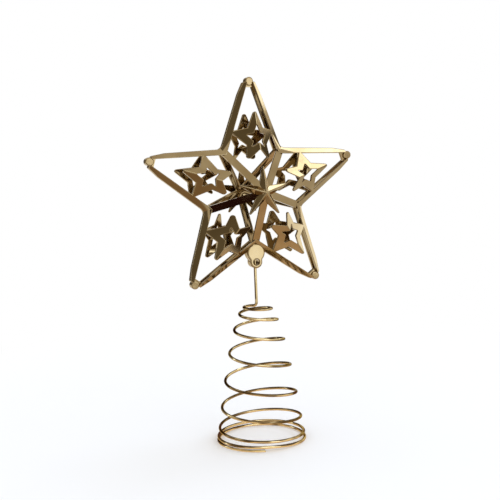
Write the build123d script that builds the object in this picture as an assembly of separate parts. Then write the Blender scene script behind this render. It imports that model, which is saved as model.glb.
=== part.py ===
from build123d import *
import os
from math import atan, cos, degrees, hypot, pi, radians, sin

# A tree topper: a hollow openwork star of two plated half shells, on one bent wire.
# The wire is a straight stem that runs down into a conical spring, which slips over the tree's top shoot.
# Millimetres, +Z up. The origin is on the spring's axis, at the surface that the spring stands on.
# The star's front looks along -Y.

# Star outline, seen from the front and measured from the star's middle
arm_count = 5
bar_meet_radius = 90.0
notch_radius = 37.2
notch_fillet = 4.6
bar_cut_length = 14.8
bar_end_half_width = 4.1
shoulder_length = 8.2
bar_width = 4.1
bar_end_width = 2.7

# Depth of one half shell, measured from the plane where the two halves meet
apex_depth = 30.2
rim_depth = 1.8
wall = 2.0

# Flat spokes from the notches to the middle
spoke_width = 5.0
spoke_thickness = 2.2
spoke_drop = 1.6

# Faceted star in the middle
ray_length = 19.8
ray_valley_radius = 5.6
ray_point_round = 0.6
hub_wall = 2.2

# Small star folded over the ridge of each arm, with a star-shaped hole
small_star_radius = 36.4
small_star_reach = 20.2
small_star_overlap = 2.4
small_star_round = 1.4
small_hole_reach = 9.4
small_hole_half_width = 6.4
small_hole_round = 0.3

# Corners of a small star and of its hole on one side of the ridge, from the point that faces the tip:
# shares of the reach along the arm and of the half width across it. The points lie further from the middle
# than a share of the reach, and the valleys between them nearer.
side_point_share = 0.267
small_star_shares = [(1, 0), (0.36, 0.34), (side_point_share, 1), (-0.215, 0.45), (-0.785, 0.545), (-0.375, 0)]
small_hole_shares = [(1, 0), (0.36, 0.36), (0.28, 1), (-0.22, 0.48), (-0.6, 0.72), (-0.3, 0)]
valley_reach_share = 0.5

# Boss that joins the two bars at each tip, with a peg and a socket in the two halves
boss_offset = 0.3
boss_length = 6.0
boss_width = 5.6
boss_depth = 3.2
boss_edge_round = 0.8
tip_web_length = 3.4
peg_diameter = 2.4
peg_length = 1.7
peg_clearance = 0.1
peg_end_gap = 0.3

# Lug under the bottom notch, which holds the stem
lug_head_drop = 4.8
lug_head_radius = 6.5
lug_neck_fillet = 2.0
lug_eye_drop = 11.2
lug_eye_radius = 4.5
lug_eye_hole = 4.4
lug_depth = 3.8
lug_edge_round = 1.2
stem_grip = 5.2
stem_clearance = 0.1

# Wire, stem and spring, from the top down
wire_diameter = 2.0
stem_free_length = 22.0
bend_radius = 2.6
bend_heading = 128.0
lead_drop = 0.8
coil_top_radius = 9.0
coil_base_radius = 30.6
coil_rise = 91.5
coil_gap = 0.45
coil_start_angle = 161.0
foot_flat = 0.5

# Turns of the spring: open, closed, settling to the foot, and lying flat as the foot
lead_turns = 0.3
open_turns = 7.0
closed_turns = 0.25
settle_turns = 0.25
foot_turns = 0.75
widening_turns = 7.5
steps_per_turn = 4
pitch_power = 1.15
widening_power = 1.2
tangent_step_share = 0.0001
gap_samples = 5
gap_skip_share = 0.5

# Cuts run past the faces that they open by this much
overrun = 1.0

arm_step = 360 / arm_count
arm_angles = [90 + arm_step * arm for arm in range(arm_count)]
notch_angles = [angle + arm_step / 2 for angle in arm_angles]

# Where the bars start and end, the distance from the star's middle to their outer edges, and the facets' slope
notch_along = notch_radius * cos(radians(arm_step / 2))
notch_aside = notch_radius * sin(radians(arm_step / 2))
bar_run = hypot(bar_meet_radius - notch_along, notch_aside)
edge_distance = bar_meet_radius * notch_aside / bar_run
bar_taper = notch_aside / (bar_meet_radius - notch_along)
bar_end_radius = bar_meet_radius - bar_cut_length
shoulder_radius = bar_end_radius - shoulder_length
boss_radius = bar_end_radius + boss_offset
facet_angle = atan((apex_depth - rim_depth) / edge_distance)
wall_along_depth = wall / cos(facet_angle)
window_share = (edge_distance - bar_width) / edge_distance

# Opening inside the bars, from a notch to the end of an arm, where it runs out between the bars' ends
window_start = notch_along * window_share
window_start_half_width = notch_aside * window_share
window_end = bar_end_radius + overrun
window_end_half_width = bar_end_half_width - bar_end_width
window_taper = (window_start_half_width - window_end_half_width) / (window_end - window_start)

# Half width of a small star, whose side points run into the bars
side_point_radius = small_star_radius + small_star_reach * side_point_share
side_window_half_width = window_end_half_width + (window_end - side_point_radius) * window_taper
small_star_half_width = side_window_half_width + small_star_overlap

# Heights on the wire and of the star
foot_height = wire_diameter / 2 - foot_flat
closed_pitch = wire_diameter + coil_gap
coil_turns = open_turns + closed_turns + settle_turns + foot_turns
lug_eye_distance = notch_radius + lug_eye_drop


def smooth_step(value):
    """Rise from 0 to 1 with level ends."""
    held = min(max(value, 0), 1)
    return held * held * (3 - 2 * held)


def coil_point(turn):
    """Centre of the wire after a number of turns from the top of the spring."""
    angle = radians(coil_start_angle) + 2 * pi * turn
    widening = sin(pi / 2 * min(turn / widening_turns, 1)) ** widening_power
    radius = coil_top_radius + (coil_base_radius - coil_top_radius) * widening
    opened = ((turn + lead_turns) / (open_turns + lead_turns)) ** pitch_power
    settled = (turn - open_turns - closed_turns) / settle_turns
    height = coil_rise * (1 - smooth_step(opened)) + closed_pitch * (1 - smooth_step(settled))
    return Vector(radius * cos(angle), radius * sin(angle), foot_height + height)


def coil_tangent(turn):
    """Direction of the wire at a turn of the spring, going down."""
    ahead = min(turn + tangent_step_share, coil_turns)
    behind = max(turn - tangent_step_share, 0)
    return (coil_point(ahead) - coil_point(behind)).normalized()


def polar(radius, angle):
    """Point of the star's plane at a radius and an angle in degrees."""
    return (radius * cos(radians(angle)), radius * sin(radians(angle)))


def on_arm(angle, along, aside):
    """Point of the star's plane, along an arm and to its left."""
    turn = radians(angle)
    return (along * cos(turn) - aside * sin(turn), along * sin(turn) + aside * cos(turn))


def star_points(tip, valley):
    """Corners of a five-pointed star, a tip and a valley in turn."""
    points = []
    for angle in arm_angles:
        points.append(polar(tip, angle))
        points.append(polar(valley, angle + arm_step / 2))
    return points


def small_star(reach, half_width, shares, point_round):
    """Small star or its hole about its own middle, the same on both sides of the ridge, with its points rounded."""
    left = [(reach * along, half_width * aside) for along, aside in shares]
    right = [(along, -aside) for along, aside in reversed(left[1:-1])]
    star = Polygon(*left, *right, align=None)
    points = [v for v in star.vertices() if hypot(v.X, v.Y) > reach * valley_reach_share]
    return fillet(points, radius=point_round)


def outline_points():
    """Corners of the star's outline: bars that bend in near the tips and end blunt."""
    shoulder_half_width = (bar_meet_radius - shoulder_radius) * bar_taper
    points = []
    for angle in arm_angles:
        points.append(on_arm(angle, shoulder_radius, -shoulder_half_width))
        points.append(on_arm(angle, bar_end_radius, -bar_end_half_width))
        points.append(on_arm(angle, bar_end_radius, bar_end_half_width))
        points.append(on_arm(angle, shoulder_radius, shoulder_half_width))
        points.append(polar(notch_radius, angle + arm_step / 2))
    return points


def window_points():
    """Corners of the opening inside the bars."""
    points = []
    for angle in arm_angles:
        points.append(on_arm(angle, window_end, -window_end_half_width))
        points.append(on_arm(angle, window_end, window_end_half_width))
        points.append(on_arm(angle, window_start, window_start_half_width))
    return points


def pyramid(points, edge_height, apex_height, foot):
    """Faceted solid whose sides pass through a star at edge_height and meet at the apex."""
    share = (apex_height - foot) / (apex_height - edge_height)
    base = [Vector(x * share, y * share, foot) for x, y in points]
    apex = Vector(0, 0, apex_height)
    faces = [Face(Wire.make_polygon(base, close=True))]
    for start, end in zip(base, base[1:] + base[:1]):
        faces.append(Face(Wire.make_polygon([start, end, apex], close=True)))
    return Solid(Shell(faces))


def folded_sheet(points, edge_height, apex_height, depth):
    """Faceted sheet of even wall: the pyramid less the same pyramid set lower by the wall's depth."""
    outer = pyramid(points, edge_height, apex_height, edge_height - depth)
    return outer - Pos(0, 0, -depth) * outer


def outline_sketch():
    """Star outline with its notches rounded."""
    outline = Polygon(*outline_points(), align=None)
    notches = [v for v in outline.vertices() if hypot(v.X, v.Y) < (notch_radius + shoulder_radius) / 2]
    return fillet(notches, radius=notch_fillet)


def bars_and_small_stars(outline):
    """Rim bars and small stars: the folded sheet, left standing where their pattern lies."""
    sheet = folded_sheet(star_points(bar_meet_radius, notch_radius), rim_depth, apex_depth, wall_along_depth)
    pattern = outline - Polygon(*window_points(), align=None)
    star = small_star(small_star_reach, small_star_half_width, small_star_shares, small_star_round)
    hole = small_star(small_hole_reach, small_hole_half_width, small_hole_shares, small_hole_round)
    pattern += [Rot(0, 0, angle) * Pos(small_star_radius, 0) * (star - hole) for angle in arm_angles]
    return sheet & extrude(pattern, amount=apex_depth)


def spokes(outline):
    """Flat spokes that slope up from the notches and cross under the middle."""
    top = apex_depth - spoke_drop
    slope = (top - rim_depth) / notch_radius
    depth = spoke_thickness / cos(atan(slope))
    end = notch_radius + notch_fillet
    end_height = top - slope * end
    side = Polygon((0, top), (end, end_height), (end, end_height - depth), (0, top - depth), align=None)
    spoke = extrude(Plane.XZ * side, amount=spoke_width / 2, both=True)
    crossing = Part() + [Rot(0, 0, angle) * spoke for angle in notch_angles]
    return crossing & extrude(outline, amount=apex_depth)


def hub():
    """Faceted star in the middle, its rays on the ridges of the arms and blunt at their points."""
    rays = star_points(ray_length, ray_valley_radius)
    edge = apex_depth - (apex_depth - rim_depth) * ray_length / bar_meet_radius
    sheet = folded_sheet(rays, edge, apex_depth, hub_wall)
    pattern = Polygon(*rays, align=None)
    points = [v for v in pattern.vertices() if hypot(v.X, v.Y) > (ray_length + ray_valley_radius) / 2]
    return sheet & extrude(fillet(points, radius=ray_point_round), amount=apex_depth)


def tip(angle):
    """Boss at the end of an arm, on a low web between the two bars."""
    boss = extrude(SlotOverall(boss_length, boss_width), amount=boss_depth)
    boss = fillet(boss.edges().group_by(Axis.Z)[-1], radius=boss_edge_round)
    web = Pos(-tip_web_length / 2, 0) * Rectangle(tip_web_length, 2 * bar_end_half_width)
    placed = Pos(boss_radius, 0, 0) * boss + Pos(bar_end_radius, 0, 0) * extrude(web, amount=rim_depth)
    return Rot(0, 0, angle) * placed


def lug():
    """Half of the lug: a round head that runs into a round end with an eye, domed at the edge."""
    head = Pos(0, -notch_radius - lug_head_drop) * Circle(lug_head_radius)
    eye = Pos(0, -lug_eye_distance) * Circle(lug_eye_radius)
    plate = extrude(head + eye, amount=lug_depth)
    plate = fillet(plate.edges().filter_by(Axis.Z), radius=lug_neck_fillet)
    plate = fillet(plate.edges().group_by(Axis.Z)[-1], radius=lug_edge_round)
    return plate - Pos(0, -lug_eye_distance) * extrude(Circle(lug_eye_hole / 2), amount=lug_depth)


def stem_bore():
    """Bore up the lug for the stem, half of it in each half shell."""
    depth = lug_eye_radius + stem_grip + overrun
    bore = extrude(Circle(wire_diameter / 2 + stem_clearance), amount=depth)
    return Pos(0, -lug_eye_distance - lug_eye_radius - overrun) * Rot(-90, 0, 0) * bore


def half_shell():
    """One half of the star, lying on its meeting plane with the apex up."""
    outline = outline_sketch()
    body = bars_and_small_stars(outline) + spokes(outline) + hub() + lug()
    body += [tip(angle) for angle in arm_angles]
    return body - stem_bore()


def pegs(diameter, length):
    """Round pins at the middles of the bosses, standing up from the meeting plane."""
    pin = extrude(Circle(diameter / 2), amount=length)
    return [Pos(*polar(boss_radius, angle)) * pin for angle in arm_angles]


def biarc(start, heading, end, end_heading):
    """Two arcs that leave start along heading and reach end along end_heading."""
    chord = end - start
    both = heading + end_heading
    spread = 2 * (1 - heading.dot(end_heading))
    across = chord.dot(both)
    reach = (hypot(across, (spread * chord.dot(chord)) ** 0.5) - across) / spread
    middle = (start + heading * reach + end - end_heading * reach) * 0.5
    first = TangentArc(start, middle, tangent=heading)
    return [first, TangentArc(middle, end, tangent=first % 1)]


def spring_path():
    """Centre line of the spring: down the stem's axis, round the bend and out along the coil."""
    heading = Vector(*polar(1, bend_heading), 0)
    bend_height = coil_point(0).Z + lead_drop
    down = Vector(0, 0, -1)
    top = Vector(0, 0, bend_height + bend_radius + wire_diameter)
    bend_start = top + down * wire_diameter
    bend_end = heading * bend_radius + Vector(0, 0, bend_height)
    edges = [Line(top, bend_start), TangentArc(bend_start, bend_end, tangent=down)]
    edges += biarc(bend_end, heading, coil_point(0), coil_tangent(0))
    for step in range(round(coil_turns * steps_per_turn)):
        start = step / steps_per_turn
        end = (step + 1) / steps_per_turn
        edges += biarc(coil_point(start), coil_tangent(start), coil_point(end), coil_tangent(end))
    last = coil_point(coil_turns)
    edges.append(Line(last, last + coil_tangent(coil_turns) * wire_diameter))
    return edges


def least_gap(edges):
    """Least distance between turns of the tube, from points along its centre line."""
    points = []
    travelled = 0
    for edge in edges:
        for sample in range(gap_samples):
            points.append((travelled + edge.length * sample / gap_samples, edge @ (sample / gap_samples)))
        travelled += edge.length
    skip = 2 * pi * coil_top_radius * gap_skip_share
    gaps = []
    for index, (place, point) in enumerate(points):
        gaps += [(point - other).length for far, other in points[index + 1:] if far - place > skip]
    return min(gaps) - wire_diameter


def wire_section(place, heading):
    """Round section of the wire at a place on its centre line."""
    return Plane(origin=place, z_dir=heading) * Circle(wire_diameter / 2)


def spring_coil(edges):
    """Conical spring, cut flat where its foot stands on a surface."""
    path = Wire(edges)
    tube = sweep(wire_section(edges[0] @ 0, edges[0] % 0), path=path)
    span = 2 * (coil_base_radius + wire_diameter)
    ground = Pos(0, 0, -wire_diameter / 2) * Box(span, span, wire_diameter)
    return tube - ground


def stem_wire(foot, top):
    """Straight stem from the spring's bend to the end of the bore in the lug."""
    return extrude(wire_section(Vector(0, 0, foot), Vector(0, 0, 1)), amount=top - foot)


spring_edges = spring_path()
stem_foot = (spring_edges[0] @ 0).Z
lug_bottom = stem_foot + stem_free_length
star_height = lug_bottom + lug_eye_radius + lug_eye_distance
stem_top = star_height - lug_eye_distance + stem_grip - stem_clearance
star_place = Pos(0, 0, star_height) * Rot(90, 0, 0)

half = half_shell()
sockets = pegs(peg_diameter + 2 * peg_clearance, peg_length + peg_end_gap)
front_half = half - sockets
rear_half = mirror(half, about=Plane.XY) + pegs(peg_diameter, peg_length)

nodes = {
    "front_half_shell": star_place * front_half,
    "rear_half_shell": star_place * rear_half,
    "stem_wire": stem_wire(stem_foot, stem_top),
    "spring_coil": spring_coil(spring_edges),
}

os.makedirs("parts", exist_ok=True)
for name, solid in nodes.items():
    export_step(solid, f"parts/{name}.step")
print(f"least gap between the spring's turns: {least_gap(spring_edges):.3f} mm")
print(f"star's middle at {star_height:.2f} mm, stem from {stem_foot:.2f} to {stem_top:.2f} mm")
print(f"facets slope by {degrees(facet_angle):.1f} degrees")
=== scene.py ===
import math

import bmesh
import bpy
import numpy as np
from bpy.props import FloatProperty, FloatVectorProperty, IntProperty, PointerProperty
from mathutils import Matrix, Vector


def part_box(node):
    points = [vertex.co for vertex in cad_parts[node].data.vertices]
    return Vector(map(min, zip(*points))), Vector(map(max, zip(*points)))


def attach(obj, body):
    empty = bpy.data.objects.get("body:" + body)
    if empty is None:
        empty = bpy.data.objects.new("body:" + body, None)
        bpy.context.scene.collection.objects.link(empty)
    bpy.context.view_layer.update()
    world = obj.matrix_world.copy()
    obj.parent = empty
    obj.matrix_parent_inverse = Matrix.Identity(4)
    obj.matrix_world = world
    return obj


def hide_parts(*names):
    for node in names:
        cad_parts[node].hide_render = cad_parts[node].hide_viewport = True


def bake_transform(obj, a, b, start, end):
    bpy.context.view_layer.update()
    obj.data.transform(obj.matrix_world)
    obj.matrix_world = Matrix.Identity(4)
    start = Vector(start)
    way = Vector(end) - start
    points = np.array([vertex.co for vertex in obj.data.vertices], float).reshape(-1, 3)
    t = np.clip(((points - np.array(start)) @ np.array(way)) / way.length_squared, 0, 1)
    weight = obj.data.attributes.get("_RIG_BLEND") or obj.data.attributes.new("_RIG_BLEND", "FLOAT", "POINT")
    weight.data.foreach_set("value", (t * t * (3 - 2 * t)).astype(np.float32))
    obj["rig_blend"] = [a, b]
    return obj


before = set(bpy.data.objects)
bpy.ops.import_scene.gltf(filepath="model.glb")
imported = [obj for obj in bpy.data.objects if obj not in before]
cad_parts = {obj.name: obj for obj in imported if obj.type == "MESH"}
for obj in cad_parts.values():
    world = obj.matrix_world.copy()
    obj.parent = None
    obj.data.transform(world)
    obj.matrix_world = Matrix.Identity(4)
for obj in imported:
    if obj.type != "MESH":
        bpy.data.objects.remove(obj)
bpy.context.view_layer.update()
stem_low, stem_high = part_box("stem_wire")
front_low, front_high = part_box("front_half_shell")
wire_diameter = stem_high.x - stem_low.x

bl_info = {
    "name": "Tree Topper Star",
    "version": (1, 0, 0),
    "blender": (4, 5, 0),
    "location": "View3D > Sidebar > Topper",
    "description": "Finishes a plated openwork star on a conical wire spring, and sets up its studio",
    "category": "Object",
}

WIRE_UV = "along_wire"
CARD_UV = "reflection_card"
UP = np.array([0.0, 0.0, 1.0])

# Reach of the stem's bore from its axis, as a share of the wire's diameter
BORE_REACH_SHARE = 0.62

# How far large faces lead the shading of the roundings beside them, from 1 to 100
FACET_LEAD = 90

# Sections in the straight and bent stretches of the wire
STEM_RINGS = 40
START_RINGS = 6
BEND_RINGS = 16
LEAD_RINGS = 26
END_RINGS = 5
END_ROUND_RINGS = 6

# Part of a turn over which the wire's direction is taken at the two ends of the turns
DIRECTION_STEP = 0.0001

# Edges of the wire that turn by more than this, round its cut ends, are drawn sharp
CUT_ANGLE = math.radians(50)

# Star plating: features per metre, where they start and end, and their shares in the haze and the relief
CLOUD_SCALE = 45.0
CLOUD_RANGE = (0.3, 0.7)
PATCH_SCALE = 110.0
PATCH_RANGE = (0.48, 0.72)
GRAIN_SCALE = 1400.0
GRAIN_SHARE = 0.4
SLACK_SCALE = 70.0
SLACK_SHARE = 0.8
PEEL_SCALE = 420.0
PEEL_SHARE = 0.08

# Wire plating: stretch along the wire and spread around it of the drawn lines and of the dark streaks, which
# fall at random; painted shade darkens the upper side over them
LINE_STRETCH = 0.05
LINE_SPREAD = 2.2
LINE_HAZE_SHARE = 0.5
LINE_STRENGTH = 0.6
STREAK_STRETCH = 0.3
STREAK_SPREAD = 0.6
STREAK_AND_SHADE_RANGE = (0.46, 0.6)
# Painted shade: how much darker the wire's upper side is painted, added to the streaks
UPPER_SIDE_PAINTED_SHADE = 0.12

# Roughness of the lacquer on the star and on the wire
STAR_LACQUER_ROUGHNESS = 0.04
WIRE_LACQUER_ROUGHNESS = 0.06

# Rings of the floor, and faces in each
FLOOR_RINGS = 48
FLOOR_SIDES = 96

# Camera: width of its sensor in millimetres, and the nearest and furthest that it sees
SENSOR_WIDTH = 36.0
CAMERA_CLIP = (0.01, 100.0)

# Windows of the studio: azimuth from the star's front, elevation, distance, width and height in degrees
# as seen from the star, and radiance
WINDOW_COLOUR = (0.84, 1.0, 1.28)
WINDOWS = (
    ("front_window", 18.0, 0.0, 0.8, (22.0, 23.0), 1.95),
    ("side_window", 119.0, 4.0, 3.0, (42.0, 6.5), 1.35),
    ("upper_side_window", 107.0, 22.2, 3.0, (18.0, 10.0), 2.4),
    ("roof_window", 111.0, 65.5, 3.0, (28.5, 10.5), 4.0),
)

# Painted reflections: cards round the star that show only in the plating, dark ones for painted shade and
# then two glowing ones for painted highlights: azimuth, elevation, distance, width and height in degrees,
# colour, soft edge
REFLECTION_CARDS = (
    ("left_painted_shade", -80.0, 20.0, 2.0, (66.0, 42.0), (0.26, 0.235, 0.19), 0.1),
    ("low_painted_shade", -54.0, -22.0, 0.33, (34.0, 18.0), (0.04, 0.015, 0.015), 0.1),
    ("gap_painted_shade", 107.0, 11.8, 2.5, (24.0, 8.0), (0.15, 0.14, 0.12), 0.1),
    ("roof_painted_shade", 131.0, 54.5, 2.5, (14.0, 8.0), (0.2, 0.18, 0.15), 0.1),
    ("back_painted_shade", -145.0, 8.0, 1.2, (70.0, 50.0), (0.12, 0.11, 0.10), 0.15),
    ("upper_painted_shade", 165.0, 34.0, 1.2, (80.0, 36.0), (0.14, 0.12, 0.10), 0.15),
    ("key_painted_highlight", -2.0, 41.0, 1.5, (40.0, 20.0), (3.4, 4.0, 5.1), 0.2),
    ("left_painted_highlight", -122.0, 12.0, 1.0, (9.0, 56.0), (3.0, 3.6, 4.6), 0.3),
)

# Painted reflections of the floor: sheets on it that show only in the plating, warm, dark for painted shade,
# or glowing brighter than white: middle, size, colour, soft edge
FLOOR_REFLECTIONS = (
    ("warm_painted_reflection", (0.02, -0.02, 0.0001), (0.24, 0.30), (1.0, 0.79, 0.63), 0.2),
    ("left_painted_reflection", (-0.13, 0.0, 0.0002), (0.17, 0.26), (0.5, 0.37, 0.26), 0.25),
    ("right_painted_shade", (0.165, 0.03, 0.0003), (0.11, 0.20), (0.08, 0.05, 0.03), 0.2),
    ("coil_painted_glow", (0.0, 0.0, 0.0004), (0.09, 0.09), (1.15, 0.95, 0.78), 0.15),
    ("far_painted_shade", (0.332, 0.289, 0.0001), (0.13, 0.13), (0.05, 0.03, 0.02), 0.15),
)


class StarSettings(bpy.types.PropertyGroup):
    """Edges of the two star mouldings."""

    edge_round: FloatProperty(
        name="Edge round", description="Width of the rounding on the moulded edges",
        default=0.0006, min=0, precision=5, unit="LENGTH")
    seam_round: FloatProperty(
        name="Seam round", description="Width of the rounding along the parting line of the halves",
        default=0.0004, min=0, precision=5, unit="LENGTH")
    bore_radius: FloatProperty(
        name="Bore radius", description="Edges nearer to the stem's axis than this stay sharp",
        default=wire_diameter * BORE_REACH_SHARE, min=0, precision=5, unit="LENGTH")
    edge_angle: FloatProperty(
        name="Edge angle", description="Outer edges that turn by more than this are rounded",
        default=math.radians(20), subtype="ANGLE")
    flat_angle: FloatProperty(
        name="Flat angle", description="Triangles that turn by less than this lie in one facet",
        default=math.radians(0.6), subtype="ANGLE")
    merge_distance: FloatProperty(
        name="Merge distance", description="Corners of the packed triangles nearer than this are one corner",
        default=0.000002, min=0, precision=6, unit="LENGTH")
    edge_segments: IntProperty(
        name="Edge segments", description="Faces across each rounding", default=3, min=1)
    weld_distance: FloatProperty(
        name="Weld distance", description="Corners of the roundings nearer than this are one corner",
        default=0.00002, min=0, precision=6, unit="LENGTH")


class WireSettings(bpy.types.PropertyGroup):
    """The bent wire: its stem, its bend and its conical spring."""

    diameter: FloatProperty(
        name="Diameter", description="Thickness of the wire",
        default=wire_diameter, precision=5, unit="LENGTH")
    stem_foot: FloatProperty(
        name="Stem foot", description="Height where the stem ends and the spring starts",
        default=stem_low.z, precision=5, unit="LENGTH")
    stem_top: FloatProperty(
        name="Stem top", description="Height of the stem's end inside the lug",
        default=stem_high.z, precision=5, unit="LENGTH")
    bend_radius: FloatProperty(
        name="Bend radius", description="Radius of the bend from the stem to the spring",
        default=0.0026, precision=5, unit="LENGTH")
    bend_heading: FloatProperty(
        name="Bend heading", description="Direction in which the bend leaves the axis, from +X",
        default=math.radians(128), subtype="ANGLE")
    lead_reach: FloatProperty(
        name="Lead reach", description="Pull of the lead's ends, as a share of the gap that it crosses",
        default=1.15)
    top_radius: FloatProperty(
        name="Top radius", description="Radius of the spring's first turn",
        default=0.009, precision=5, unit="LENGTH")
    base_radius: FloatProperty(
        name="Base radius", description="Radius of the spring's foot",
        default=0.0306, precision=5, unit="LENGTH")
    rise: FloatProperty(
        name="Rise", description="Height of the open turns", default=0.0915, precision=5, unit="LENGTH")
    coil_gap: FloatProperty(
        name="Gap", description="Gap between the closed turns", default=0.00045, precision=5, unit="LENGTH")
    foot_flat: FloatProperty(
        name="Foot flat", description="Depth of the flat under the last turn",
        default=0.0005, precision=5, unit="LENGTH")
    start_angle: FloatProperty(
        name="Start angle", description="Where the first turn starts, from +X",
        default=math.radians(161), subtype="ANGLE")
    lead_turns: FloatProperty(
        name="Lead turns", description="Turns before the first one", default=0.3)
    open_turns: FloatProperty(
        name="Open turns", description="Turns that stand apart", default=7.0)
    closed_turns: FloatProperty(
        name="Closed turns", description="Turns that lie close", default=0.25)
    settle_turns: FloatProperty(
        name="Settling turns", description="Turns that come down to the foot", default=0.25)
    foot_turns: FloatProperty(
        name="Foot turns", description="Turns that lie level as the foot", default=0.75)
    widening_turns: FloatProperty(
        name="Widening turns", description="Turns over which it widens", default=7.5)
    pitch_power: FloatProperty(
        name="Pitch power", description="How the pitch is spread", default=1.15)
    widening_power: FloatProperty(
        name="Widening power", description="How the widening is spread", default=1.2)
    rings_per_turn: IntProperty(
        name="Rings per turn", description="Sections in each turn", default=96, min=12)
    sides: IntProperty(
        name="Sides", description="Faces around the wire", default=20, min=8)
    end_round: FloatProperty(
        name="End round", description="Rounding of the wire's cut end",
        default=0.0003, precision=5, unit="LENGTH")


class PlatingSettings(bpy.types.PropertyGroup):
    """Colours and polish of the plating."""

    star_colour: FloatVectorProperty(
        name="Star gold", description="Plating of the star where it is thick",
        default=(0.325, 0.232, 0.106), size=3, subtype="COLOR", min=0, max=1)
    star_deep: FloatVectorProperty(
        name="Star deep gold", description="Plating of the star where it is thin",
        default=(0.25, 0.165, 0.062), size=3, subtype="COLOR", min=0, max=1)
    wire_colour: FloatVectorProperty(
        name="Wire gold", description="Plating of the wire where it is bright",
        default=(0.7, 0.54, 0.27), size=3, subtype="COLOR", min=0, max=1)
    # Dark colour of the wire's random streaks, and of the painted shade on its upper side
    wire_streak_and_shade: FloatVectorProperty(
        name="Wire tarnish", description="Plating of the wire where it has darkened",
        default=(0.12, 0.072, 0.026), size=3, subtype="COLOR", min=0, max=1)
    polish: FloatProperty(
        name="Polish", description="Roughness of the clean plating", default=0.07, min=0, max=1)
    haze: FloatProperty(
        name="Haze", description="Roughness that handling adds in patches", default=0.12, min=0, max=1)
    relief: FloatProperty(
        name="Relief", description="Depth of the slack and the peel of the moulded flats",
        default=0.00012, min=0, precision=6, unit="LENGTH")
    line_depth: FloatProperty(
        name="Line depth", description="Depth of the drawn lines along the wire",
        default=0.00004, min=0, precision=6, unit="LENGTH")
    star_lacquer: FloatProperty(
        name="Star lacquer", description="Clear lacquer over the star's plating", default=0.45, min=0, max=1)
    wire_lacquer: FloatProperty(
        name="Wire lacquer", description="Clear lacquer over the wire's plating", default=0.045, min=0, max=1)
    star_edge: FloatVectorProperty(
        name="Star edge tint", description="Tint of the star's plating at a low angle of view",
        default=(1.0, 0.88, 0.66), size=3, subtype="COLOR", min=0, max=1)
    wire_edge: FloatVectorProperty(
        name="Wire edge tint", description="Tint of the wire's plating at a low angle of view",
        default=(0.38, 0.31, 0.21), size=3, subtype="COLOR", min=0, max=1)


class StudioSettings(bpy.types.PropertyGroup):
    """Camera, floor and light."""

    camera_place: FloatVectorProperty(
        name="Camera place", description="Where the camera stands",
        default=(-0.19549, -0.55596, 0.18993), size=3, subtype="TRANSLATION")
    camera_yaw: FloatProperty(
        name="Yaw", description="Turn of the camera to its left, from +Y",
        default=math.radians(-19.073), subtype="ANGLE")
    camera_tilt: FloatProperty(
        name="Tilt", description="Tilt of the camera upwards",
        default=math.radians(-5.381), subtype="ANGLE")
    camera_roll: FloatProperty(
        name="Roll", description="Roll of the camera", default=math.radians(-2.262), subtype="ANGLE")
    lens: FloatProperty(
        name="Lens", description="Focal length of the camera in millimetres",
        default=61.159, subtype="DISTANCE_CAMERA")
    floor_radius: FloatProperty(
        name="Floor radius", description="Radius of the round floor", default=3.0, unit="LENGTH")
    floor_colour: FloatVectorProperty(
        name="Floor colour", description="Paint of the floor",
        default=(0.9, 0.9, 0.9), size=3, subtype="COLOR", min=0, max=1)
    shadow_radius: FloatProperty(
        name="Shadow radius", description="Radius inside which the floor shows shadows",
        default=0.45, unit="LENGTH")
    shadow_core: FloatProperty(
        name="Shadow core", description="Radius inside which the floor shows shadows in full",
        default=0.18, unit="LENGTH")


class Signal:
    """An output of a shader node. Sums and products of signals and numbers add Math nodes to its tree."""

    def __init__(self, tree, socket=None):
        self.tree = tree
        self.socket = socket

    def node(self, kind, output=0, settings=(), inputs=()):
        """Add any node: its settings are set first, then values or links go to its sockets."""
        made = self.tree.nodes.new(kind)
        for key, value in dict(settings).items():
            setattr(made, key, value)
        for key, value in dict(inputs).items():
            if isinstance(value, Signal):
                self.tree.links.new(value.socket, made.inputs[key])
            else:
                made.inputs[key].default_value = value
        return Signal(self.tree, made.outputs[output]) if made.outputs else None

    def math(self, operation, *values):
        """Add a Math node for an operation on values."""
        return self.node("ShaderNodeMath", settings={"operation": operation}, inputs=enumerate(values))

    def __add__(self, other):
        return self.math("ADD", self, other)

    def __radd__(self, other):
        return self.math("ADD", other, self)

    def __sub__(self, other):
        return self.math("SUBTRACT", self, other)

    def __rsub__(self, other):
        return self.math("SUBTRACT", other, self)

    def __mul__(self, other):
        return self.math("MULTIPLY", self, other)

    def __rmul__(self, other):
        return self.math("MULTIPLY", other, self)

    def ramp(self, low, high):
        """Rise smoothly from 0 at low to 1 at high."""
        return self.node(
            "ShaderNodeMapRange", settings={"interpolation_type": "SMOOTHSTEP"},
            inputs={"Value": self, "From Min": low, "From Max": high})

    def between(self, start, end):
        """Mix two colours by this signal: a Mix node's colours are its sockets 6 and 7, and its output 2."""
        return self.node(
            "ShaderNodeMix", output=2, settings={"data_type": "RGBA"},
            inputs={0: self, 6: start, 7: end})


def opaque(colour):
    """Colour of three parts with a full alpha."""
    return (*colour, 1.0)


def new_material(name):
    """Empty node material and a signal that can add to its tree."""
    material = bpy.data.materials.new(name)
    material.use_nodes = True
    material.node_tree.nodes.clear()
    return material, Signal(material.node_tree)


def noise(tree, coordinates, scale=1.0, detail=2.0, roughness=0.5):
    """Noise from 0 to 1, of a scale in features per unit of its coordinates."""
    return tree.node(
        "ShaderNodeTexNoise",
        inputs={"Vector": coordinates, "Scale": scale, "Detail": detail, "Roughness": roughness})


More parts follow.
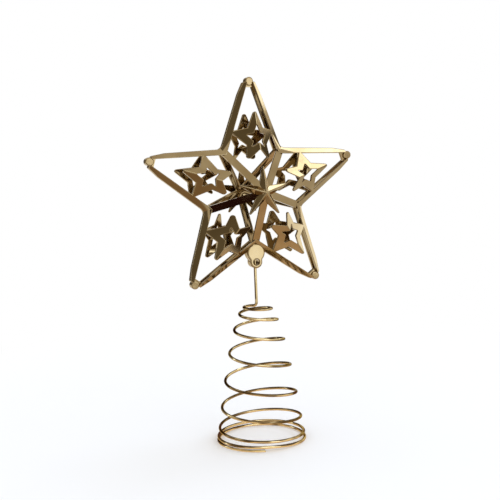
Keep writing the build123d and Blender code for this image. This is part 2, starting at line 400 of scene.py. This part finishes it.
def plated_star_material(plating):
    """Mirror-bright gold on moulded plastic: thin and thick plating, hazy patches and slack moulded flats."""
    material, tree = new_material("gold_moulding")
    place = tree.node("ShaderNodeTexCoord", output="Object")
    clouds = noise(tree, place, CLOUD_SCALE, detail=3.0).ramp(*CLOUD_RANGE)
    patches = noise(tree, place, PATCH_SCALE, detail=4.0, roughness=0.6).ramp(*PATCH_RANGE)
    grain = noise(tree, place, GRAIN_SCALE) * GRAIN_SHARE + (1.0 - GRAIN_SHARE)
    slack = noise(tree, place, SLACK_SCALE, detail=1.0) * SLACK_SHARE
    peel = noise(tree, place, PEEL_SCALE, detail=1.0) * PEEL_SHARE
    bump = tree.node(
        "ShaderNodeBump", inputs={"Strength": 1.0, "Distance": plating.relief, "Height": slack + peel})
    shader = tree.node("ShaderNodeBsdfPrincipled", inputs={
        "Base Color": clouds.between(opaque(plating.star_deep), opaque(plating.star_colour)),
        "Metallic": 1.0,
        "Specular Tint": opaque(plating.star_edge),
        "Roughness": plating.polish + plating.haze * patches * grain,
        "Normal": bump,
        "Coat Weight": plating.star_lacquer,
        "Coat Roughness": STAR_LACQUER_ROUGHNESS,
    })
    tree.node("ShaderNodeOutputMaterial", inputs={"Surface": shader})
    return material


def round_the_wire(length, level, upper, stretch, spread):
    """Coordinates that run along the wire and close around it, on a circle."""
    return length.node(
        "ShaderNodeCombineXYZ", inputs={"X": length * stretch, "Y": level * spread, "Z": upper * spread})


def plated_wire_material(plating):
    """Bright gold on drawn wire: fine lines along it, dark streaks at random, and painted shade that darkens
    its upper side.
    """
    material, tree = new_material("gold_wire")
    along = tree.node("ShaderNodeUVMap", settings={"uv_map": WIRE_UV})
    length = tree.node("ShaderNodeSeparateXYZ", output="X", inputs={"Vector": along})
    around = tree.node("ShaderNodeSeparateXYZ", output="Y", inputs={"Vector": along}) * (2.0 * math.pi)
    level = tree.math("COSINE", around)
    upper = tree.math("SINE", around)
    drawn = round_the_wire(length, level, upper, LINE_STRETCH, LINE_SPREAD)
    streaked = round_the_wire(length, level, upper, STREAK_STRETCH, STREAK_SPREAD)
    lines = noise(tree, drawn, detail=3.0)
    # Painted shade: the wire's upper side is painted darker, over dark streaks that fall at random
    streaks_and_shade = (noise(tree, streaked, roughness=0.6) + upper * UPPER_SIDE_PAINTED_SHADE).ramp(*STREAK_AND_SHADE_RANGE)
    bump = tree.node(
        "ShaderNodeBump", inputs={"Strength": LINE_STRENGTH, "Distance": plating.line_depth, "Height": lines})
    shader = tree.node("ShaderNodeBsdfPrincipled", inputs={
        "Base Color": streaks_and_shade.between(opaque(plating.wire_colour), opaque(plating.wire_streak_and_shade)),
        "Metallic": 1.0,
        "Specular Tint": opaque(plating.wire_edge),
        "Roughness": plating.polish + plating.haze * LINE_HAZE_SHARE * lines,
        "Normal": bump,
        "Coat Weight": plating.wire_lacquer,
        "Coat Roughness": WIRE_LACQUER_ROUGHNESS,
    })
    tree.node("ShaderNodeOutputMaterial", inputs={"Surface": shader})
    return material


def new_piece(name, mesh, material):
    """Object at the origin for a finished mesh, with its material."""
    mesh.materials.clear()
    mesh.materials.append(material)
    piece = bpy.data.objects.new(name, mesh)
    bpy.context.scene.collection.objects.link(piece)
    return piece


def rounding_share(edge, star):
    """Share of the full rounding for an edge: none at the stem's bore, less along the parting line, y = 0."""
    if all(corner.co.xy.length < star.bore_radius for corner in edge.verts):
        return 0.0
    if all(abs(corner.co.y) < star.merge_distance for corner in edge.verts):
        return star.seam_round / star.edge_round
    return 1.0


def half_shell(node, name, star, material):
    """One moulding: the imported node's facets, merged and made whole, with its outer edges rounded. An edge
    with no rounded one beside it stays sharp."""
    shape = bmesh.new()
    shape.from_mesh(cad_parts[node].data)
    bmesh.ops.remove_doubles(shape, verts=shape.verts[:], dist=star.merge_distance)
    bmesh.ops.dissolve_limit(
        shape, angle_limit=star.flat_angle, use_dissolve_boundaries=False,
        verts=shape.verts[:], edges=shape.edges[:], delimit=set())
    if not shape.faces:
        raise RuntimeError(f"{node} has no faces to finish")
    rounded = shape.edges.layers.float.new("bevel_weight_edge")
    for edge in shape.edges:
        edge.smooth = edge.calc_face_angle() <= star.edge_angle
        edge[rounded] = rounding_share(edge, star) if edge.is_convex and not edge.smooth else 0.0
    for edge in shape.edges:
        beside = [other for corner in edge.verts for other in corner.link_edges if other != edge]
        if not any(other[rounded] for other in beside):
            edge[rounded] = 0.0
        edge.smooth = edge.smooth or edge[rounded] > 0.0
    mesh = bpy.data.meshes.new(name)
    shape.to_mesh(mesh)
    shape.free()
    mesh.shade_smooth()
    piece = new_piece(name, mesh, material)
    rounding = piece.modifiers.new("edge_round", "BEVEL")
    rounding.width = star.edge_round
    rounding.segments = star.edge_segments
    rounding.limit_method = "WEIGHT"
    rounding.use_clamp_overlap = False
    joining = piece.modifiers.new("joined_corners", "WELD")
    joining.merge_threshold = star.weld_distance
    shading = piece.modifiers.new("flat_facets", "WEIGHTED_NORMAL")
    shading.keep_sharp = True
    shading.weight = FACET_LEAD
    return piece


def smooth_step(value):
    """Rise from 0 to 1 with level ends: 3 x^2 - 2 x^3."""
    held = np.clip(value, 0.0, 1.0)
    return held * held * (3.0 - 2.0 * held)


def coil_line(turn, wire):
    """Centre line of the spring after t turns: the angle goes round evenly, the radius widens as a power of
    sin(pi/2 t/widening), and the height comes down by one smooth step over the open turns and one to the
    foot."""
    angle = wire.start_angle + 2.0 * math.pi * turn
    widened = np.minimum(turn / wire.widening_turns, 1.0)
    widening = np.sin(math.pi / 2.0 * widened) ** wire.widening_power
    radius = wire.top_radius + (wire.base_radius - wire.top_radius) * widening
    opened = ((turn + wire.lead_turns) / (wire.open_turns + wire.lead_turns)) ** wire.pitch_power
    settled = (turn - wire.open_turns - wire.closed_turns) / wire.settle_turns
    height = wire.rise * (1.0 - smooth_step(opened))
    height += (wire.diameter + wire.coil_gap) * (1.0 - smooth_step(settled))
    height += wire.diameter / 2.0 - wire.foot_flat
    return np.stack([radius * np.cos(angle), radius * np.sin(angle), height], axis=-1)


def spring_line(wire):
    """Centre line of the whole spring and how many of its points belong to the stem's end and the bend:
    straight down, a quarter circle, a Hermite curve onto the first turn, the turns, and a short straight
    end."""
    level = np.array([math.cos(wire.bend_heading), math.sin(wire.bend_heading), 0.0])
    straight = UP * np.linspace(wire.stem_foot, wire.stem_foot - wire.diameter, START_RINGS)[:, None]
    centre = straight[-1] + level * wire.bend_radius
    quarter = np.linspace(0.0, math.pi / 2.0, BEND_RINGS)[1:, None]
    bend = centre - wire.bend_radius * (level * np.cos(quarter) + UP * np.sin(quarter))
    turns = wire.open_turns + wire.closed_turns + wire.settle_turns + wire.foot_turns
    turn = np.linspace(0.0, turns, round(turns * wire.rings_per_turn))
    coil = coil_line(turn, wire)
    step = np.array([0.0, DIRECTION_STEP])
    first_way = np.diff(coil_line(step, wire), axis=0)[0]
    last_way = np.diff(coil_line(turns - step[::-1], wire), axis=0)[0]
    pull = wire.lead_reach * np.linalg.norm(coil[0] - bend[-1])
    x = np.linspace(0.0, 1.0, LEAD_RINGS)[1:-1, None]
    lead = (bend[-1] * (1 + 2 * x) * (1 - x) ** 2 + level * pull * x * (1 - x) ** 2
            + coil[0] * x * x * (3 - 2 * x) + first_way / np.linalg.norm(first_way) * pull * x * x * (x - 1))
    reach = np.linspace(0.0, wire.diameter, END_RINGS)[1:, None]
    end = coil[-1] + last_way / np.linalg.norm(last_way) * reach
    return np.concatenate([straight, bend, lead, coil, end]), len(straight) + len(bend)


def round_wire(name, line, level, wire, material):
    """Round wire along a centre line with a level heading at each of its points: each section is a circle on
    the side vector, level and square to the heading, and on the vector square to it and to the line. The last
    sections draw in on a quarter circle to round the cut end."""
    place = np.concatenate([[0.0], np.cumsum(np.linalg.norm(np.diff(line, axis=0), axis=1))])
    way = np.gradient(line, place, axis=0)
    way /= np.linalg.norm(way, axis=1, keepdims=True)
    side = np.cross(UP, level / np.linalg.norm(level, axis=1, keepdims=True))
    rise = np.cross(way, side)
    radius = np.full(len(line), wire.diameter / 2.0)
    turn_in = np.linspace(0.0, math.pi / 2.0, END_ROUND_RINGS)
    radius = np.concatenate([radius[:-1], radius[-1] - wire.end_round * (1.0 - np.cos(turn_in))])
    set_back = wire.end_round * (1.0 - np.sin(turn_in))
    centres = np.concatenate([line[:-1], line[-1] - way[-1] * set_back[:, None]])
    repeat = np.concatenate([np.arange(len(line) - 1), np.full(len(turn_in), len(line) - 1)])
    around = np.linspace(0.0, 2.0 * math.pi, wire.sides, endpoint=False)
    ring = np.cos(around)[None, :, None] * side[repeat][:, None, :]
    ring = ring + np.sin(around)[None, :, None] * rise[repeat][:, None, :]
    points = centres[:, None, :] + radius[:, None, None] * ring
    points[..., 2] = np.maximum(points[..., 2], 0.0)
    mesh = wire_mesh(name, points, place[repeat] / (math.pi * wire.diameter))
    return new_piece(name, mesh, material)


def cap_uv(length, *corners):
    """UVs of a cap's triangles, all at one length of the wire, with each corner's place around it."""
    around = np.stack(corners, axis=-1)
    return np.stack([np.full(around.shape, length), around], axis=-1).reshape(-1)


def wire_mesh(name, points, length):
    """Mesh of rings of points, closed around and capped at both ends, with a UV map along and around it."""
    rings, sides = points.shape[:2]
    corner = np.arange(rings * sides).reshape(rings, sides)
    after = np.roll(corner, -1, axis=1)
    walls = np.stack([corner[:-1], after[:-1], after[1:], corner[1:]], axis=-1).reshape(-1, 4)
    first = np.stack([np.full(sides, rings * sides), after[0], corner[0]], axis=-1)
    last = np.stack([np.full(sides, rings * sides + 1), corner[-1], after[-1]], axis=-1)
    vertices = np.concatenate([points.reshape(-1, 3), points[[0, -1]].mean(axis=1)])
    mesh = bpy.data.meshes.new(name)
    mesh.from_pydata(vertices.tolist(), [], walls.tolist() + first.tolist() + last.tolist())
    low = np.arange(sides) / sides
    middle = low + 0.5 / sides
    high = low + 1.0 / sides
    near, far, left, right = np.broadcast_arrays(length[:-1, None], length[1:, None], low, high)
    wall_uv = np.stack([near, left, near, right, far, right, far, left], axis=-1).reshape(-1)
    first_uv = cap_uv(length[0], middle, high, low)
    last_uv = cap_uv(length[-1], middle, low, high)
    uv = mesh.uv_layers.new(name=WIRE_UV)
    uv.uv.foreach_set("vector", np.concatenate([wall_uv, first_uv, last_uv]).astype(np.float32))
    mesh.shade_smooth()
    mesh.set_sharp_from_angle(angle=CUT_ANGLE)
    if mesh.validate():
        raise RuntimeError(f"{name} has faulty faces")
    return mesh


def keep_sections_round(piece, sides):
    """Give all points of a section of the wire one blend weight, their mean, so that a pressed wire isn't
    flattened. The last two points are the middles of the first and the last section."""
    weights = piece.data.attributes["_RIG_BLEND"].data
    value = np.empty(len(weights), np.float32)
    weights.foreach_get("value", value)
    sections = value[:-2].reshape(-1, sides)
    sections[:] = sections.mean(axis=1, keepdims=True)
    value[-2:] = sections[[0, -1], 0]
    weights.foreach_set("value", value)


def found_material(name, maker, plating):
    """Material by name, made once."""
    return bpy.data.materials.get(name) or maker(plating)


class TOPPER_OT_star(bpy.types.Operator):
    """Finish the two mouldings of the star, with rounded edges and gold plating"""

    bl_idname = "topper.star"
    bl_label = "Star half shells"

    def execute(self, context):
        material = found_material("gold_moulding", plated_star_material, context.scene.topper_plating)
        for node, name in (("front_half_shell", "star_front_half"), ("rear_half_shell", "star_rear_half")):
            piece = half_shell(node, name, context.scene.topper_star, material)
            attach(piece, "star")
            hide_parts(node)
        return {"FINISHED"}


class TOPPER_OT_stem(bpy.types.Operator):
    """Make the straight stem of the wire"""

    bl_idname = "topper.stem"
    bl_label = "Stem wire"

    def execute(self, context):
        wire = context.scene.topper_wire
        material = found_material("gold_wire", plated_wire_material, context.scene.topper_plating)
        line = UP * np.linspace(wire.stem_foot, wire.stem_top, STEM_RINGS)[:, None]
        level = np.tile([-math.cos(wire.bend_heading), -math.sin(wire.bend_heading), 0.0], (len(line), 1))
        piece = round_wire("stem", line, level, wire, material)
        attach(piece, "stem")
        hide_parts("stem_wire")
        return {"FINISHED"}


class TOPPER_OT_spring(bpy.types.Operator):
    """Make the conical spring, which stretches between its foot and the stem"""

    bl_idname = "topper.spring"
    bl_label = "Conical spring"

    def execute(self, context):
        wire = context.scene.topper_wire
        material = found_material("gold_wire", plated_wire_material, context.scene.topper_plating)
        line, upright = spring_line(wire)
        level = np.gradient(line, axis=0) * (1.0 - UP)
        level[:upright] = [math.cos(wire.bend_heading), math.sin(wire.bend_heading), 0.0]
        piece = round_wire("spring", line, level, wire, material)
        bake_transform(piece, "base", "stem", start=(0, 0, 0), end=(0, 0, wire.stem_foot))
        keep_sections_round(piece, wire.sides)
        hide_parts("spring_coil")
        return {"FINISHED"}


def floor_mesh(radius):
    """Round floor: rings whose radii grow as the square of their number, closed by a point in the middle."""
    reach = radius * np.linspace(0.0, 1.0, FLOOR_RINGS + 1)[1:] ** 2
    around = np.linspace(0.0, 2.0 * math.pi, FLOOR_SIDES, endpoint=False)
    grid = np.stack([reach[:, None] * np.cos(around), reach[:, None] * np.sin(around),
                     np.zeros((len(reach), len(around)))], axis=-1)
    corner = np.arange(len(reach) * len(around)).reshape(len(reach), len(around))
    after = np.roll(corner, -1, axis=1)
    rings = np.stack([corner[:-1], corner[1:], after[1:], after[:-1]], axis=-1).reshape(-1, 4)
    middle = np.stack([np.full(len(around), corner.size), corner[0], after[0]], axis=-1)
    mesh = bpy.data.meshes.new("floor")
    points = np.concatenate([grid.reshape(-1, 3), np.zeros((1, 3))])
    mesh.from_pydata(points.tolist(), [], rings.tolist() + middle.tolist())
    return mesh


def floor_material(studio):
    """White floor: plain paint that takes the shadow near the object, and the backdrop's white beyond."""
    material, tree = new_material("white_floor")
    place = tree.node("ShaderNodeTexCoord", output="Object")
    distance = tree.node(
        "ShaderNodeVectorMath", output="Value", settings={"operation": "LENGTH"}, inputs={0: place})
    paint = tree.node("ShaderNodeBsdfDiffuse", inputs={"Color": opaque(studio.floor_colour)})
    white = tree.node("ShaderNodeEmission", inputs={"Color": (1, 1, 1, 1), "Strength": 1.0})
    far = distance.ramp(studio.shadow_core, studio.shadow_radius)
    shader = tree.node("ShaderNodeMixShader", inputs={0: far, 1: paint, 2: white})
    tree.node("ShaderNodeOutputMaterial", inputs={"Surface": shader})
    return material


def facing(centre, azimuth, elevation, distance):
    """Place off a centre and turned to face it, with azimuth 0 at the star's front and 90 at its right."""
    turn, lift = math.radians(azimuth), math.radians(elevation)
    towards = Vector((math.sin(turn) * math.cos(lift), -math.cos(turn) * math.cos(lift), math.sin(lift)))
    facing_turn = towards.to_track_quat("Z", "Y").to_matrix().to_4x4()
    return Matrix.Translation(centre + towards * distance) @ facing_turn


def span(distance, spread):
    """Width and height of a card or a lamp that is seen under two angles in degrees."""
    return [2.0 * distance * math.tan(math.radians(angle) / 2.0) for angle in spread]


def window(name, place, size, radiance):
    """Rectangular lamp that shows in the plating with a radiance."""
    lamp = bpy.data.lights.new(name, "AREA")
    lamp.shape = "RECTANGLE"
    lamp.size, lamp.size_y = size
    lamp.energy = radiance * math.pi * size[0] * size[1]
    lamp.color = WINDOW_COLOUR
    made = bpy.data.objects.new(name, lamp)
    bpy.context.scene.collection.objects.link(made)
    made.matrix_world = place
    made.visible_camera = False


def reflection_card(name, place, size, material):
    """Painted reflection: a card, or a sheet on the floor, that glows or is dark and is seen only in the
    plating.
    """
    corners = np.array([[-1, -1], [1, -1], [1, 1], [-1, 1]]) * np.array(size) / 2.0
    mesh = bpy.data.meshes.new(name)
    mesh.from_pydata([place @ Vector((*corner, 0.0)) for corner in corners], [], [[3, 2, 1, 0]])
    uv = mesh.uv_layers.new(name=CARD_UV)
    uv.uv.foreach_set("vector", np.array([0, 1, 1, 1, 1, 0, 0, 0], np.float32))
    made = new_piece(name, mesh, material)
    for ray in ("camera", "diffuse", "transmission", "volume_scatter", "shadow"):
        setattr(made, f"visible_{ray}", False)


def reflection_card_material(name, colour, edge):
    """Painted highlight or painted shade on a card's face: it glows or is dark, and its soft edges are as
    wide as a share of it.
    """
    material, tree = new_material(name)
    place = tree.node("ShaderNodeUVMap", settings={"uv_map": CARD_UV})
    across = tree.node("ShaderNodeSeparateXYZ", output="X", inputs={"Vector": place})
    along = tree.node("ShaderNodeSeparateXYZ", output="Y", inputs={"Vector": place})
    inside = across.ramp(0.0, edge) * (1.0 - across).ramp(0.0, edge) * along.ramp(0.0, edge)
    inside = inside * (1.0 - along).ramp(0.0, edge)
    clear = tree.node("ShaderNodeBsdfTransparent")
    face = tree.node("ShaderNodeEmission", inputs={"Color": opaque(colour), "Strength": 1.0})
    shader = tree.node("ShaderNodeMixShader", inputs={0: inside, 1: clear, 2: face})
    tree.node("ShaderNodeOutputMaterial", inputs={"Surface": shader})
    return material


def studio_camera(studio):
    """Camera by its yaw, tilt and roll: forward from the first two, then right and up turned about it."""
    yaw, tilt, roll = studio.camera_yaw, studio.camera_tilt, studio.camera_roll
    forward = Vector((-math.sin(yaw) * math.cos(tilt), math.cos(yaw) * math.cos(tilt), math.sin(tilt)))
    right = forward.cross(Vector((0, 0, 1))).normalized()
    up = right.cross(forward)
    turned_right = right * math.cos(roll) + up * math.sin(roll)
    turned_up = up * math.cos(roll) - right * math.sin(roll)
    lens = bpy.data.cameras.new("photo_camera")
    lens.sensor_width = SENSOR_WIDTH
    lens.lens = studio.lens
    lens.clip_start, lens.clip_end = CAMERA_CLIP
    camera = bpy.data.objects.new("photo_camera", lens)
    bpy.context.scene.collection.objects.link(camera)
    turn = Matrix((turned_right, turned_up, -forward)).transposed().to_4x4()
    camera.matrix_world = Matrix.Translation(Vector(studio.camera_place)) @ turn
    bpy.context.scene.camera = camera


class TOPPER_OT_stage(bpy.types.Operator):
    """Set up the white floor, the soft light, the cards and floor sheets of painted reflection, and the
    camera
    """

    bl_idname = "topper.stage"
    bl_label = "Studio"

    def execute(self, context):
        studio = context.scene.topper_studio
        floor = new_piece("floor", floor_mesh(studio.floor_radius), floor_material(studio))
        world = bpy.data.worlds.new("white_room")
        world.use_nodes = True
        background = world.node_tree.nodes["Background"]
        background.inputs["Color"].default_value = (1, 1, 1, 1)
        background.inputs["Strength"].default_value = 1.0
        context.scene.world = world
        middle = Vector((0.0, 0.0, (front_low.z + front_high.z) / 2.0))
        for name, azimuth, elevation, distance, spread, radiance in WINDOWS:
            window(name, facing(middle, azimuth, elevation, distance), span(distance, spread), radiance)
        # Painted reflections: dark cards for painted shade and glowing cards for painted highlights, seen
        # only in the plating
        for name, azimuth, elevation, distance, spread, colour, edge in REFLECTION_CARDS:
            place = facing(middle, azimuth, elevation, distance)
            reflection_card(name, place, span(distance, spread), reflection_card_material(name, colour, edge))
        # Painted reflections lying on the floor, seen only in the plating
        for name, place, size, colour, edge in FLOOR_REFLECTIONS:
            reflection_card(name, Matrix.Translation(place), size, reflection_card_material(name, colour, edge))
        studio_camera(studio)
        context.scene.view_settings.view_transform = "Standard"
        return {"FINISHED"}


class TOPPER_PT_panel(bpy.types.Panel):
    """Sizes, colours and pieces of the topper."""

    bl_idname = "TOPPER_PT_panel"
    bl_label = "Tree Topper Star"
    bl_space_type = "VIEW_3D"
    bl_region_type = "UI"
    bl_category = "Topper"

    def draw(self, context):
        for name in SETTINGS:
            settings = getattr(context.scene, name)
            box = self.layout.box()
            box.label(text=name.replace("_", " ").title())
            for key in settings.__annotations__:
                box.prop(settings, key)
        for operator in OPERATORS:
            self.layout.operator(operator.bl_idname)


SETTINGS = {
    "topper_star": StarSettings,
    "topper_wire": WireSettings,
    "topper_plating": PlatingSettings,
    "topper_studio": StudioSettings,
}
OPERATORS = (TOPPER_OT_star, TOPPER_OT_stem, TOPPER_OT_spring, TOPPER_OT_stage)


def register():
    """Register the settings, the operators and the panel."""
    for name, settings in SETTINGS.items():
        bpy.utils.register_class(settings)
        setattr(bpy.types.Scene, name, PointerProperty(type=settings))
    for operator in OPERATORS:
        bpy.utils.register_class(operator)
    bpy.utils.register_class(TOPPER_PT_panel)


def unregister():
    """Take back what register added."""
    bpy.utils.unregister_class(TOPPER_PT_panel)
    for operator in reversed(OPERATORS):
        bpy.utils.unregister_class(operator)
    for name, settings in reversed(SETTINGS.items()):
        delattr(bpy.types.Scene, name)
        bpy.utils.unregister_class(settings)


def main():
    """Register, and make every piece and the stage."""
    register()
    bpy.ops.topper.star()
    bpy.ops.topper.stem()
    bpy.ops.topper.spring()
    bpy.ops.topper.stage()


if __name__ == "__main__":
    main()
